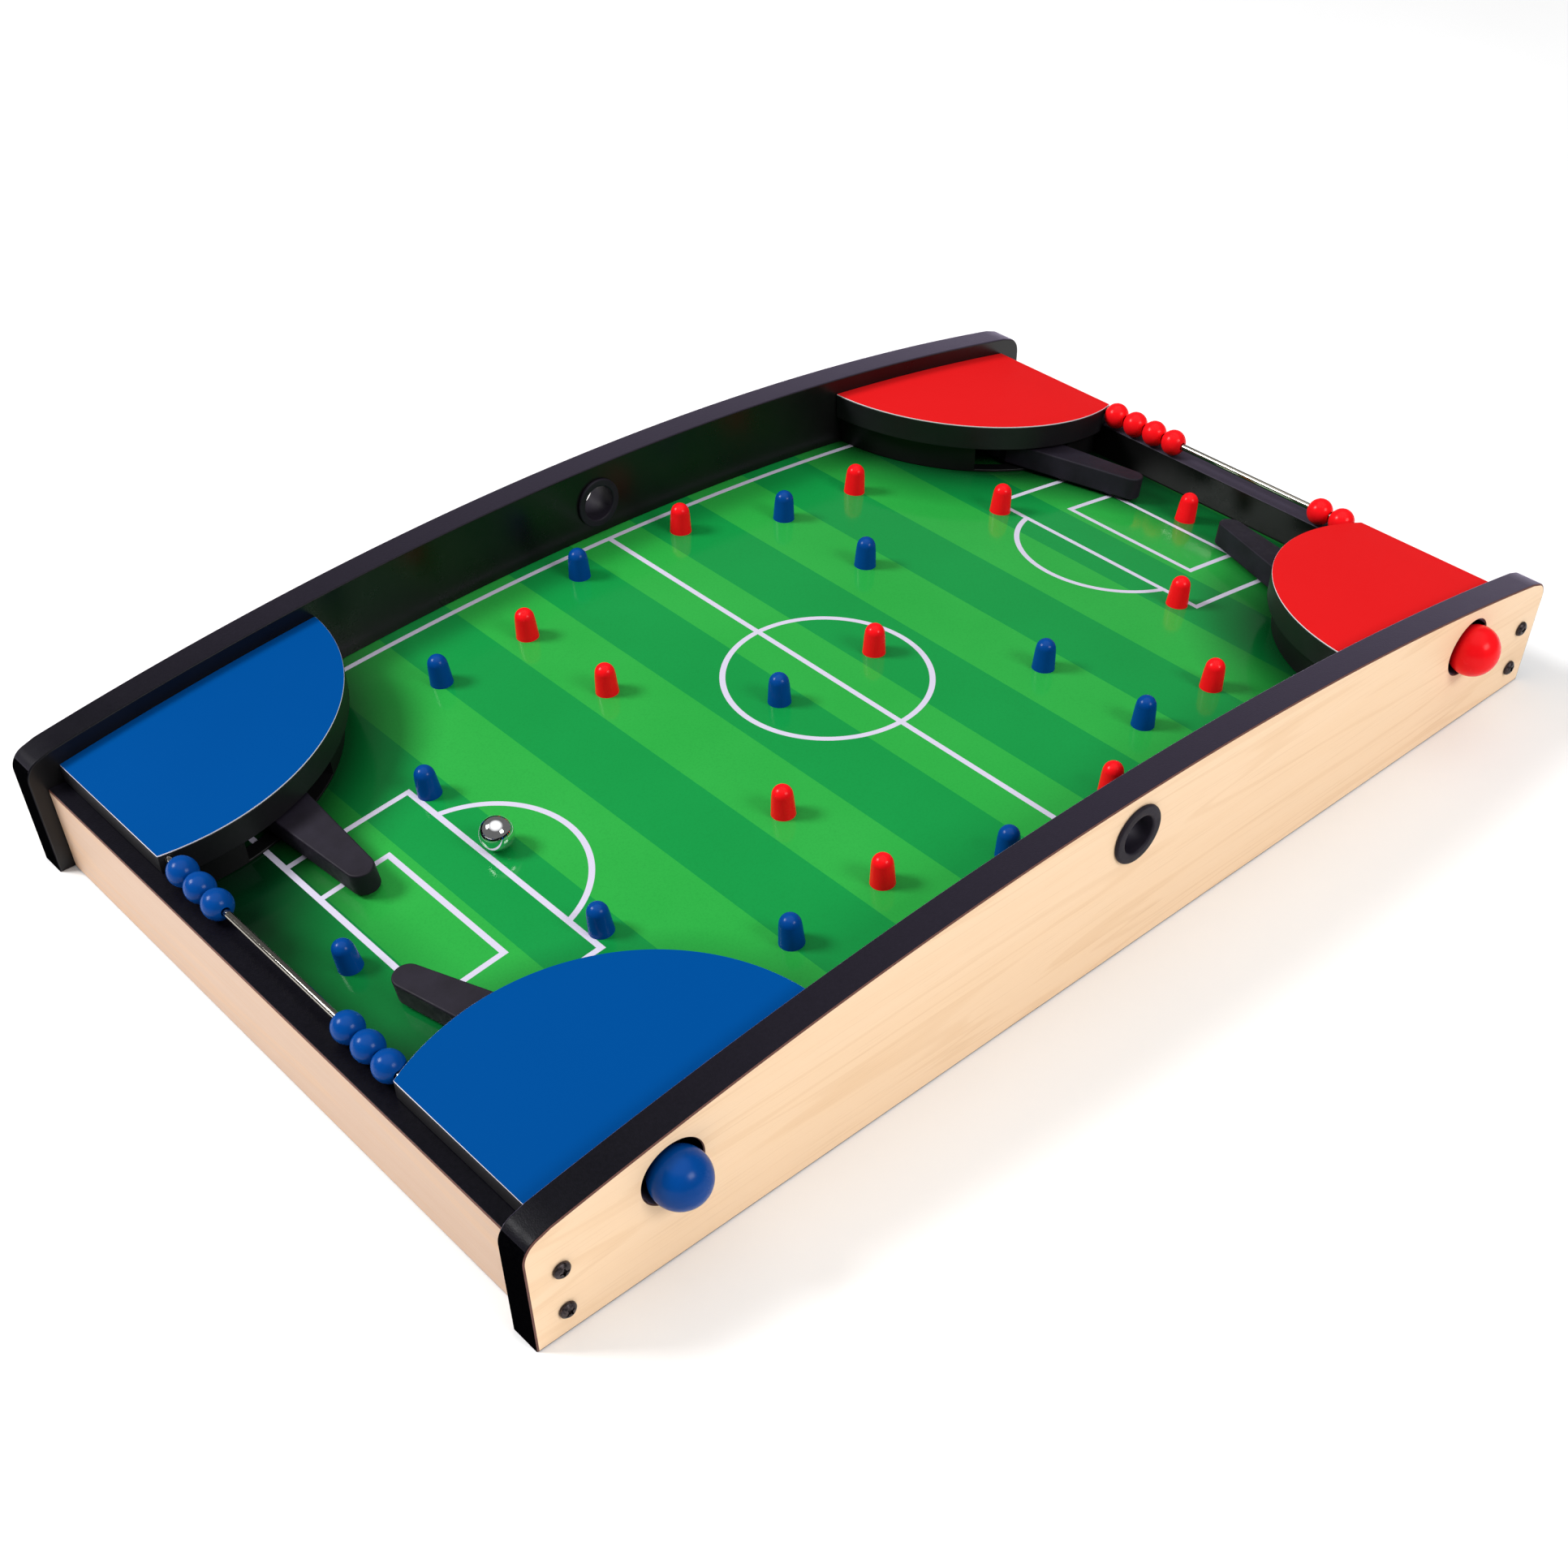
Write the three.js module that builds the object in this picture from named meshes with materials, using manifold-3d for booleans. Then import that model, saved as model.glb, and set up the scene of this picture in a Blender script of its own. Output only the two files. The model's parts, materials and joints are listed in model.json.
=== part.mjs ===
import * as THREE from 'three';
import { mergeVertices } from 'three/addons/utils/BufferGeometryUtils.js';
import Module from 'manifold-3d';

// Tabletop flipper football game. Millimetres, +Z up, X along the table, Y across it.
// Origin: middle of the footprint, at the underside. Blue side is -X, red side is +X.

// Frame
const LENGTH = 672;
const WIDTH = 400;
const PANEL_T = 16;
const TOP_MID_Z = 93;
const TOP_R = 1850;
const CORNER_R = 11;
const END_INSET = 7.5;
const END_T = 16;
const END_H = 46.5;
const GAP = 0.3;

// Domed pitch board, let into grooves in the long panels
const PITCH_MID_Z = 53.5;
const PITCH_R = 1900;
const PITCH_T = 6;
const GROOVE = 4;

// Pegs: [x, y] for the red side, mirrored in X for the blue side
const PEG_PLACES = [
  [284, 0], [195.5, 65.5], [195.5, -65.5], [142.5, 131], [142.5, -131], [32.3, 0],
  [35, 157], [35, -157], [-88.5, 65.5], [-88.5, -65.5], [-88.5, 131.5], [-88.5, -131.5],
];
const PEG_H = 16;
const PEG_SUNK = 1.5;
const PEG_BASE_R = 6;
const PEG_TOP_R = 5.1;

// Corner housings and covers, drawn round one centre
const ARC_X = 280;
const ARC_Y = 188;
const COVER_R = 103;
const COVER_DROP = 8.6;
const COVER_T = 14;
const COVER_END_X = 319.6;
const COVER_FROM = 182.4;
const COVER_TO = 292.5;
const WALL_R = 98;
const WALL_T = 8;
const RIM_H = 1.3;
const WALL_FROM = 178;
const WALL_TO = 296;
const SLOT_FROM = 232.6;
const SLOT_TO = 270;
const CORNER_X0 = 160;
const CORNER_Y0 = 60;
const BULK_X0 = 192;
const BULK_Y0 = 150;
const BULK_Y1 = 158;

// Flippers. Lengths are in the plane that touches the dome at the pivot.
const PIVOT_X = 252;
const PIVOT_Y = 118;
const FLIP_LEN = 84;
const FLIP_TIP_R = 7;
const FLIP_BASE_W = 12;
const FLIP_LOW = 2.2;
const FLIP_TOP = 14.6;
const HUB_R = 9;
const HUB_TOP = 8.6;
const BOSS_R = 4.2;
const PIN_R = 2;
const CRANK_R = 11.5;
const CRANK_PIN_R = 1.6;
const CRANK_HALF_W = 4;
const BLADE_START = 8.4;
const NECK_W = 8;
const NECK_BACK = 2;
const PIN_LOW = -4;
const PIN_TOP = 15.6;
const PIN_PLAY = 0.25;
const REST_DEG = 16;
const MID_DEG = -4;
const SHOT_DEG = 0;

// Torsion springs round the flipper bosses
const SPRING_WIRE_R = 0.5;
const SPRING_TURNS = 3.25;
const SPRING_RISE = 3.6;
const SPRING_LEG = 33.5;
const SPRING_BEND = 10;
const SPRING_TOE = 1.6;
const SPRING_OFF_BOSS = 1.2;
const SPRING_OFF_HUB = 0.9;

// Knobs and plungers. The rod enters the knob below its centre, clear of the cover.
const KNOB_X = 265.5;
const KNOB_Z = 51.3;
const KNOB_R = 13.3;
const KNOB_BACK = 9;
const KNOB_HOLE_R = 15.4;
// The hole narrows at the panel's inner face, below the top of the cover
const KNOB_STEP = 2.2;
const ROD_BORE_R = 11;
const ROD_Z = 47;
const ROD_R = 2.5;
const PUSH_GAP = 0.35;
const KNOB_PROUD = 4;
const ROD_IN_KNOB = 3.6;
const SOCKET_END = 4;
const GUIDE_PLAY = 0.4;

// Scoring beads and rods
const BEAD_X = 315.2;
const BEAD_Z = 54.2;
const BEAD_R = 7.3;
const SCORE_ROD_R = 1.8;
const SCORE_ROD_END = 99;
const BLUE_BEADS = [78.7, 63.9, 49.1, -53.4, -68.2, -83];
const RED_BEADS = [83, 68.2, 53.4, 38.6, -68.2, -83];

// Ball feed grommets, screws and the ball
const FEED_Z = 72;
const FEED_BORE = 9.4;
const FEED_BARREL = 11.8;
const FEED_OUT_R = 14.8;
const FEED_IN_R = 13.4;
const FEED_LIP = 1.8;
const FEED_BEVEL = 1.2;
const SCREW_X = 320.5;
const SCREW_Z = [14.5, 39];
const SCREW_HEAD_R = 4.3;
const SCREW_SHANK_R = 1.8;
const SCREW_LEN = 34;
const SCREW_POINT = 3;
const SCREW_HEAD_H = 2.4;
const CROSS_LEN = 2.1;
const CROSS_HALF_W = 0.45;
const CROSS_FLOOR = 0.9;
const BALL_R = 8.25;
const BALL_AT = [-194.6, 10.5];
const BALL_GAP = 0.25;

const HALF_L = LENGTH / 2;
const HALF_W = WIDTH / 2;
const INNER_Y = HALF_W - PANEL_T;
const END_OUT_X = HALF_L - END_INSET;
const END_IN_X = END_OUT_X - END_T;
const ABOVE_ALL = 120;

const wasm = await Module();
wasm.setup();
const { Manifold, Mesh: SolidMesh } = wasm;

const group = new THREE.Group();
group.name = 'tabletop_foosball';

const MAPLE = new THREE.MeshStandardMaterial({ color: 0xe8c48e, roughness: 0.5, metalness: 0 });
const GREEN = new THREE.MeshStandardMaterial({ color: 0x2aa04a, roughness: 0.35, metalness: 0 });
const BLUE = new THREE.MeshStandardMaterial({ color: 0x0a4c9e, roughness: 0.35, metalness: 0 });
const RED = new THREE.MeshStandardMaterial({ color: 0xd9202a, roughness: 0.35, metalness: 0 });
const BLACK_PLASTIC = new THREE.MeshStandardMaterial({ color: 0x17171b, roughness: 0.45, metalness: 0 });
const STEEL = new THREE.MeshStandardMaterial({ color: 0xb9bcc0, roughness: 0.25, metalness: 1 });
const CHROME = new THREE.MeshStandardMaterial({ color: 0xd8dadd, roughness: 0.08, metalness: 1 });
const BLACK_METAL = new THREE.MeshStandardMaterial({ color: 0x2a272b, roughness: 0.4, metalness: 0.8 });

function toSolid(geometry) {
  let plain = geometry.clone();
  plain.deleteAttribute('normal');
  plain.deleteAttribute('uv');
  plain = mergeVertices(plain, 1e-4);
  return new Manifold(new SolidMesh({
    numProp: 3,
    vertProperties: new Float32Array(plain.attributes.position.array),
    triVerts: new Uint32Array(plain.index.array),
  }));
}

function toGeometry(solid) {
  const mesh = solid.getMesh();
  const geometry = new THREE.BufferGeometry();
  geometry.setAttribute('position', new THREE.BufferAttribute(new Float32Array(mesh.vertProperties), 3));
  geometry.setIndex(new THREE.BufferAttribute(new Uint32Array(mesh.triVerts), 1));
  geometry.computeVertexNormals();
  return geometry;
}

function addPiece(name, solid, material) {
  const mesh = new THREE.Mesh(toGeometry(solid), material);
  mesh.name = name;
  group.add(mesh);
}

function box(x0, x1, y0, y1, z0, z1) {
  const geometry = new THREE.BoxGeometry(x1 - x0, y1 - y0, z1 - z0);
  geometry.translate((x0 + x1) / 2, (y0 + y1) / 2, (z0 + z1) / 2);
  return toSolid(geometry);
}

// Turned solid from [radius, height] pairs, axis +Z
function turned(profile, segments) {
  const points = profile.map(([r, z]) => new THREE.Vector2(r, z));
  const geometry = new THREE.LatheGeometry(points, segments);
  geometry.rotateX(Math.PI / 2);
  return toSolid(geometry);
}

function rodZ(r, z0, z1, segments) {
  return turned([[0, z0], [r, z0], [r, z1], [0, z1]], segments);
}

// Slab of an outline in X and Y between two heights
function slab(outline, z0, z1) {
  const shape = new THREE.Shape(outline.map(([x, y]) => new THREE.Vector2(x, y)));
  const geometry = new THREE.ExtrudeGeometry(shape, { depth: z1 - z0, bevelEnabled: false });
  geometry.translate(0, 0, z0);
  return toSolid(geometry);
}

// Slab of an outline in X and Z between two Y values
function slabY(outline, y0, y1) {
  const shape = new THREE.Shape(outline.map(([x, z]) => new THREE.Vector2(x, z)));
  const geometry = new THREE.ExtrudeGeometry(shape, { depth: y1 - y0, bevelEnabled: false });
  geometry.rotateX(Math.PI / 2);
  geometry.translate(0, y1, 0);
  return toSolid(geometry);
}

const topZ = (x, drop = 0) => TOP_MID_Z - TOP_R + Math.sqrt((TOP_R - drop) ** 2 - x * x);
const pitchZ = (x, rise = 0) => PITCH_MID_Z - PITCH_R + Math.sqrt((PITCH_R + rise) ** 2 - x * x);

function curve(fn, x0, x1, steps) {
  const points = [];
  for (let i = 0; i <= steps; i += 1) {
    const x = x0 + ((x1 - x0) * i) / steps;
    points.push([x, fn(x)]);
  }
  return points;
}

// Band between two arched surfaces, x0 to x1 and y0 to y1
function band(low, high, x0, x1, y0, y1, steps) {
  return slabY([...curve(low, x0, x1, steps), ...curve(high, x1, x0, steps)], y0, y1);
}

function arcPoints(cx, cy, r, from, to, steps) {
  const points = [];
  for (let i = 0; i <= steps; i += 1) {
    const a = ((from + ((to - from) * i) / steps) * Math.PI) / 180;
    points.push([cx + r * Math.cos(a), cy + r * Math.sin(a)]);
  }
  return points;
}

// Mirror a solid made for the red, +Y corner into the corner with the given signs
const toCorner = (solid, sx, sy) => {
  if (sx > 0 && sy > 0) return solid;
  if (sx < 0 && sy < 0) return solid.rotate([0, 0, 180]);
  return sx < 0 ? solid.mirror([1, 0, 0]) : solid.mirror([0, 1, 0]);
};

// Place a solid made in the frame of the dome's tangent plane at x (Y unchanged)
function onDome(solid, x, y) {
  const tilt = (Math.asin(x / PITCH_R) * 180) / Math.PI;
  return solid.rotate([0, tilt, 0]).translate([x, y, pitchZ(x)]);
}

const CORNERS = [
  ['blue', -1, 'near', -1], ['blue', -1, 'far', 1],
  ['red', 1, 'near', -1], ['red', 1, 'far', 1],
];
const tintOf = (side) => (side === 'blue' ? BLUE : RED);

// Turn a solid made along +Z to lie along +Y at the given X and Z
const alongY = (solid, x, z) => solid.rotate([-90, 0, 0]).translate([x, 0, z]);

// Long side panels: the arch starts just inside each rounded corner
const cornerX = HALF_L - CORNER_R;
const cornerZ = topZ(cornerX) - CORNER_R - 1;
const archX = cornerX - 3;
const panelOutline = [
  [-HALF_L, 0],
  [HALF_L, 0],
  ...arcPoints(cornerX, cornerZ, CORNER_R, 0, 75, 4),
  ...curve((x) => topZ(x), archX, -archX, 20),
  ...arcPoints(-cornerX, cornerZ, CORNER_R, 105, 180, 4),
];

for (const [place, sy] of [['near', -1], ['far', 1]]) {
  let panel = slabY(panelOutline, INNER_Y, HALF_W);
  panel = panel.subtract(band(
    (x) => pitchZ(x, -PITCH_T - GAP), (x) => pitchZ(x, GAP),
    -END_IN_X, END_IN_X, INNER_Y - 1, INNER_Y + GROOVE, 20,
  ));
  const holeThrough = (r, segments) => rodZ(r, INNER_Y - 1, HALF_W + 1, segments);
  panel = panel.subtract(alongY(holeThrough(FEED_BARREL + GAP, 20), 0, FEED_Z));
  for (const sx of [-1, 1]) {
    const knobHole = rodZ(KNOB_HOLE_R, INNER_Y + KNOB_STEP, HALF_W + 1, 22);
    panel = panel.subtract(alongY(knobHole, sx * KNOB_X, KNOB_Z));
    panel = panel.subtract(alongY(holeThrough(ROD_BORE_R, 22), sx * KNOB_X, ROD_Z));
    for (const z of SCREW_Z) {
      panel = panel.subtract(alongY(holeThrough(SCREW_SHANK_R + GAP, 10), sx * SCREW_X, z));
    }
  }
  addPiece(`side_panel_${place}`, toCorner(panel, 1, sy), MAPLE);
}

// Short end panels
for (const [side, sx] of [['blue', -1], ['red', 1]]) {
  let end = box(END_IN_X, END_OUT_X, -INNER_Y + GAP, INNER_Y - GAP, 0, END_H);
  for (const sy of [-1, 1]) {
    for (const z of SCREW_Z) {
      const hole = rodZ(SCREW_SHANK_R + GAP, HALF_W - SCREW_LEN - 1, HALF_W, 10);
      end = end.subtract(toCorner(alongY(hole, SCREW_X, z), 1, sy));
    }
  }
  addPiece(`end_panel_${side}`, toCorner(end, sx, 1), MAPLE);
}

// Pitch board with the pegs standing square to the dome, each with a round top
const boardX = END_IN_X - GAP;
const boardY = INNER_Y + GROOVE - GAP;
let pitch = band((x) => pitchZ(x, -PITCH_T), (x) => pitchZ(x), -boardX, boardX, -boardY, boardY, 20);
const shoulder = PEG_TOP_R * Math.SQRT1_2;
const peg = turned([
  [0, -PEG_SUNK], [PEG_BASE_R, -PEG_SUNK], [PEG_BASE_R, 0], [PEG_TOP_R, PEG_H - PEG_TOP_R],
  [shoulder, PEG_H - PEG_TOP_R + shoulder], [0, PEG_H],
], 10);
for (const [x, y] of PEG_PLACES) {
  pitch = pitch.add(onDome(peg, x, y));
  pitch = pitch.add(onDome(peg, -x, y));
}
for (const [, sx, , sy] of CORNERS) {
  pitch = pitch.subtract(toCorner(onDome(rodZ(PIN_R + GAP, PIN_LOW - 0.4, 1, 12), PIVOT_X, PIVOT_Y), sx, sy));
}
addPiece('pitch_with_pegs', pitch, GREEN);

// Corner housings: curved wall with a flipper slot over a thin rim, and a bulkhead that guides the plunger
const low = (x) => pitchZ(x, GAP);
const high = (x) => topZ(x, COVER_DROP + COVER_T + GAP);
const rim = (x) => pitchZ(x, GAP + RIM_H);
const between = (lowFn, highFn) => band(lowFn, highFn, CORNER_X0, boardX, CORNER_Y0, INNER_Y - GAP, 8);
const wallRing = (from, to, steps) => slab([
  ...arcPoints(ARC_X, ARC_Y, WALL_R, from, to, steps),
  ...arcPoints(ARC_X, ARC_Y, WALL_R - WALL_T, to, from, steps),
], 0, ABOVE_ALL);
let housing = wallRing(WALL_FROM, SLOT_FROM, 10).intersect(between(low, high));
housing = housing.add(wallRing(SLOT_FROM - 1, SLOT_TO + 1, 7).intersect(between(low, rim)));
housing = housing.add(wallRing(SLOT_TO, WALL_TO, 4).intersect(between(low, high)));
housing = housing.add(box(BULK_X0, boardX, BULK_Y0, BULK_Y1, 0, ABOVE_ALL).intersect(between(low, high)));
const rodGuide = rodZ(ROD_R + GUIDE_PLAY, BULK_Y0 - 2, BULK_Y1 + 2, 12);
housing = housing.subtract(alongY(rodGuide, KNOB_X, ROD_Z));

// Covers: board with a curved edge that reaches over the end panel, with a blind hole for the score rod
const coverEndY = ARC_Y + COVER_R * Math.sin((COVER_TO * Math.PI) / 180);
const coverOutline = [
  ...arcPoints(ARC_X, ARC_Y, COVER_R, COVER_FROM, COVER_TO, 22),
  [COVER_END_X, coverEndY + 1.2],
  [COVER_END_X, INNER_Y - GAP],
];
const underside = (x) => topZ(x, COVER_DROP + COVER_T);
const topside = (x) => topZ(x, COVER_DROP);
const blank = band(underside, topside, CORNER_X0, HALF_L, CORNER_Y0, INNER_Y - GAP, 8);
let cover = slab(coverOutline, 0, ABOVE_ALL).intersect(blank);
cover = cover.subtract(box(boardX, HALF_L + 1, CORNER_Y0, INNER_Y, 0, END_H + GAP));
const rodHole = rodZ(SCORE_ROD_R + GAP, CORNER_Y0, SCORE_ROD_END + 1, 12);
cover = cover.subtract(alongY(rodHole, BEAD_X, BEAD_Z));

for (const [side, sx, place, sy] of CORNERS) {
  addPiece(`corner_housing_${side}_${place}`, toCorner(housing, sx, sy), BLACK_PLASTIC);
  addPiece(`corner_cover_${side}_${place}`, toCorner(cover, sx, sy), tintOf(side));
}

// Flipper made in its own frame: pivot on the Z axis, blade along -Y, crank along +X at mid-stroke
function flipperAt(deg) {
  const lean = (Math.asin((FLIP_BASE_W - FLIP_TIP_R) / FLIP_LEN) * 180) / Math.PI;
  const blade = [
    [-FLIP_BASE_W, -BLADE_START],
    ...arcPoints(0, -FLIP_LEN, FLIP_TIP_R, 180 + lean, 360 - lean, 8),
    [FLIP_BASE_W, -BLADE_START],
  ];
  const neckY = -BLADE_START - 0.8;
  const neck = [[-FLIP_BASE_W, neckY], [FLIP_BASE_W, neckY], [NECK_W, -NECK_BACK], [-NECK_W, -NECK_BACK]];
  let body = slab(blade, FLIP_LOW, FLIP_TOP).add(slab(neck, FLIP_LOW, HUB_TOP));
  body = body.add(rodZ(HUB_R, FLIP_LOW, HUB_TOP, 16)).rotate([0, 0, deg]);
  let crank = box(0, CRANK_R, -CRANK_HALF_W, CRANK_HALF_W, FLIP_LOW, HUB_TOP);
  crank = crank.add(rodZ(CRANK_HALF_W, FLIP_LOW, HUB_TOP, 12).translate([CRANK_R, 0, 0]));
  crank = crank.add(rodZ(CRANK_PIN_R, HUB_TOP - 1, FLIP_TOP, 10).translate([CRANK_R, 0, 0]));
  body = body.add(crank.rotate([0, 0, deg - MID_DEG])).add(rodZ(BOSS_R, HUB_TOP - 1, FLIP_TOP, 12));
  return body.subtract(rodZ(PIN_R + PIN_PLAY, 0, FLIP_TOP + 5, 12));
}

// Torsion spring round the flipper's boss: one leg along the blade, one to the housing wall
function springAt(deg) {
  const points = [];
  const coilR = BOSS_R + SPRING_OFF_BOSS;
  const z0 = HUB_TOP + SPRING_OFF_HUB;
  const turn = (a, z, r = coilR) => new THREE.Vector3(r * Math.cos(a), r * Math.sin(a), z);
  const start = ((deg - 90) * Math.PI) / 180;
  points.push(turn(start, z0, coilR + SPRING_TOE));
  const wound = SPRING_TURNS * 2 * Math.PI - start;
  const steps = 30;
  for (let i = 1; i <= steps; i += 1) {
    points.push(turn(start + (wound * i) / steps, z0 + (SPRING_RISE * i) / steps));
  }
  const last = points[points.length - 1];
  for (const out of [SPRING_BEND, SPRING_LEG]) {
    points.push(new THREE.Vector3(last.x - out, last.y, last.z));
  }
  const path = new THREE.CatmullRomCurve3(points);
  const section = arcPoints(0, 0, SPRING_WIRE_R, 0, 270, 3);
  const wire = new THREE.Shape(section.map(([x, y]) => new THREE.Vector2(x, y)));
  return toSolid(new THREE.ExtrudeGeometry(wire, { steps: 36, extrudePath: path, bevelEnabled: false }));
}

// Knob with a flat back and its plunger rod, made for the +Y side at rest
const knobProfile = [];
const backAngle = Math.acos(KNOB_BACK / KNOB_R);
knobProfile.push([0, -KNOB_BACK], [KNOB_R * Math.sin(backAngle), -KNOB_BACK]);
for (let i = 1; i <= 7; i += 1) {
  const a = Math.PI - backAngle - ((Math.PI - backAngle) * i) / 7;
  knobProfile.push([i === 7 ? 0 : KNOB_R * Math.sin(a), KNOB_R * Math.cos(a)]);
}
const knob = turned(knobProfile, 20).rotate([-90, 0, 0]);
const socket = rodZ(ROD_R + GAP, -KNOB_BACK - 1, SOCKET_END, 10);
const knobSocket = socket.rotate([-90, 0, 0]).translate([0, 0, ROD_Z - KNOB_Z]);

for (const [side, sx, place, sy] of CORNERS) {
  const shot = side === 'blue' && place === 'far';
  const deg = shot ? SHOT_DEG : REST_DEG;
  const swing = ((deg - MID_DEG) * Math.PI) / 180;
  const id = `${side}_${place}`;
  addPiece(`flipper_${id}`, toCorner(onDome(flipperAt(deg), PIVOT_X, PIVOT_Y), sx, sy), BLACK_PLASTIC);
  const pin = onDome(rodZ(PIN_R, PIN_LOW, PIN_TOP, 12), PIVOT_X, PIVOT_Y);
  addPiece(`pivot_pin_${id}`, toCorner(pin, sx, sy), STEEL);
  addPiece(`return_spring_${id}`, toCorner(onDome(springAt(deg), PIVOT_X, PIVOT_Y), sx, sy), STEEL);
  const restSwing = ((REST_DEG - MID_DEG) * Math.PI) / 180;
  const pressed = CRANK_R * (Math.sin(restSwing) - Math.sin(swing));
  const knobY = HALF_W + KNOB_PROUD - pressed;
  const tipY = PIVOT_Y + CRANK_R * Math.sin(swing) + CRANK_PIN_R + PUSH_GAP;
  const knobHere = knob.subtract(knobSocket).translate([KNOB_X, knobY, KNOB_Z]);
  addPiece(`knob_${id}`, toCorner(knobHere, sx, sy), tintOf(side));
  const plunger = alongY(rodZ(ROD_R, tipY, knobY + ROD_IN_KNOB, 10), KNOB_X, ROD_Z);
  addPiece(`plunger_${id}`, toCorner(plunger, sx, sy), STEEL);
}

// Ball feed grommets: a barrel through the panel with a flange on each face
const feedIn = INNER_Y - FEED_LIP;
const feedOut = HALF_W + FEED_LIP + 0.2;
const feed = turned([
  [FEED_BORE, feedIn], [FEED_IN_R - 0.8, feedIn], [FEED_IN_R, INNER_Y - GAP],
  [FEED_BARREL, INNER_Y - GAP], [FEED_BARREL, HALF_W + GAP], [FEED_OUT_R, HALF_W + GAP],
  [FEED_OUT_R - 0.9, feedOut], [FEED_BORE + FEED_BEVEL, feedOut], [FEED_BORE, feedOut - FEED_BEVEL],
  [FEED_BORE, feedIn],
], 20);
for (const [place, sy] of [['near', -1], ['far', 1]]) {
  addPiece(`feed_grommet_${place}`, toCorner(alongY(feed, 0, FEED_Z), 1, sy), BLACK_PLASTIC);
}

// Score rods and beads
const scoreRod = rodZ(SCORE_ROD_R, -SCORE_ROD_END, SCORE_ROD_END, 12).rotate([-90, 0, 0]);
const beadProfile = [];
const mouth = Math.asin((SCORE_ROD_R + 0.3) / BEAD_R);
for (let i = 0; i <= 6; i += 1) {
  const a = mouth + ((Math.PI - 2 * mouth) * i) / 6;
  beadProfile.push([BEAD_R * Math.sin(a), -BEAD_R * Math.cos(a)]);
}
beadProfile.push([...beadProfile[0]]);
const bead = turned(beadProfile, 12).rotate([-90, 0, 0]);
for (const [side, sx, places] of [['blue', -1, BLUE_BEADS], ['red', 1, RED_BEADS]]) {
  addPiece(`score_rod_${side}`, scoreRod.translate([sx * BEAD_X, 0, BEAD_Z]), CHROME);
  places.forEach((y, i) => {
    addPiece(`bead_${side}_${i + 1}`, bead.translate([sx * BEAD_X, y, BEAD_Z]), tintOf(side));
  });
}

// Panel screws: pan head with a cross recess
let screw = turned([
  [0, -SCREW_LEN], [0.5, -SCREW_LEN], [SCREW_SHANK_R, -SCREW_LEN + SCREW_POINT], [SCREW_SHANK_R, GAP],
  [SCREW_HEAD_R, GAP], [SCREW_HEAD_R - 0.4, GAP + 1.3], [SCREW_HEAD_R - 1.8, GAP + SCREW_HEAD_H - 0.1],
  [0, GAP + SCREW_HEAD_H],
], 10);
const recess = box(-CROSS_LEN, CROSS_LEN, -CROSS_HALF_W, CROSS_HALF_W, GAP + CROSS_FLOOR, SCREW_HEAD_R);
screw = screw.subtract(recess).subtract(recess.rotate([0, 0, 90]));
for (const [side, sx, place, sy] of CORNERS) {
  SCREW_Z.forEach((z, i) => {
    const placed = alongY(screw.translate([0, 0, HALF_W]), SCREW_X, z);
    addPiece(`screw_${side}_${place}_${i + 1}`, toCorner(placed, sx, sy), BLACK_METAL);
  });
}

// Steel ball resting on the dome
const ballProfile = [];
for (let i = 0; i <= 8; i += 1) {
  const a = (Math.PI * i) / 8;
  ballProfile.push([i === 0 || i === 8 ? 0 : BALL_R * Math.sin(a), -BALL_R * Math.cos(a)]);
}
const ball = turned(ballProfile, 16).translate([0, 0, BALL_R + BALL_GAP]);
addPiece('ball', onDome(ball, ...BALL_AT), CHROME);

export default group;
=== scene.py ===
import json
import math

import bmesh
import bpy
from mathutils import Matrix, Vector


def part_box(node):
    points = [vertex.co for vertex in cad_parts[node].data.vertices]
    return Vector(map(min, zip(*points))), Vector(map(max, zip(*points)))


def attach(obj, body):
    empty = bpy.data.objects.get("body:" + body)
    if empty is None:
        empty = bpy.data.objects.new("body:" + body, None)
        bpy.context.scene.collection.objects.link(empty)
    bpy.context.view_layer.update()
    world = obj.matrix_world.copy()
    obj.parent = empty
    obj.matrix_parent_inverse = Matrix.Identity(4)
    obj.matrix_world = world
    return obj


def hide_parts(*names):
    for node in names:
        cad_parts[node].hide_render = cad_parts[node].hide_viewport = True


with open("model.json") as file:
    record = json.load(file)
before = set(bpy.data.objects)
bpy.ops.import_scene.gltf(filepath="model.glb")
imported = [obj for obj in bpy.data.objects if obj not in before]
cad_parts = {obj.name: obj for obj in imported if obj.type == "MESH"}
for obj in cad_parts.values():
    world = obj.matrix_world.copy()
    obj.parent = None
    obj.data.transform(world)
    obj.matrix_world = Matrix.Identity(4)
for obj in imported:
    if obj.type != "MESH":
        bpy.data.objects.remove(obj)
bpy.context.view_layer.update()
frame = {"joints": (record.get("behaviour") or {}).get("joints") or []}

# ---------------------------------------------------------------- driving sizes, in metres
GAP = 0.0003
TOP_R = 1.85
PITCH_R = 1.9
PITCH_MID = 0.0535
PITCH_T = 0.006
GROOVE = 0.004
CORNER_R = 0.011
EDGE_ROUND = 0.0009

COVER_ARC = Vector((0.280, 0.188))
COVER_R = 0.103
COVER_ANGLES = (182.6, 292.2)
COVER_T = 0.014
COVER_DROP = 0.0086
SHEET_T = 0.0006
WALL_R = 0.098
WALL_T = 0.008
WALL_ANGLES = (178.0, 296.0)
SLOT_ANGLES = (232.6, 270.0)
SLOT_RIM = 0.0013
BULKHEAD_X = 0.192
BULKHEAD_Y = (0.150, 0.158)
ROD_GUIDE_R = 0.0029

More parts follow.
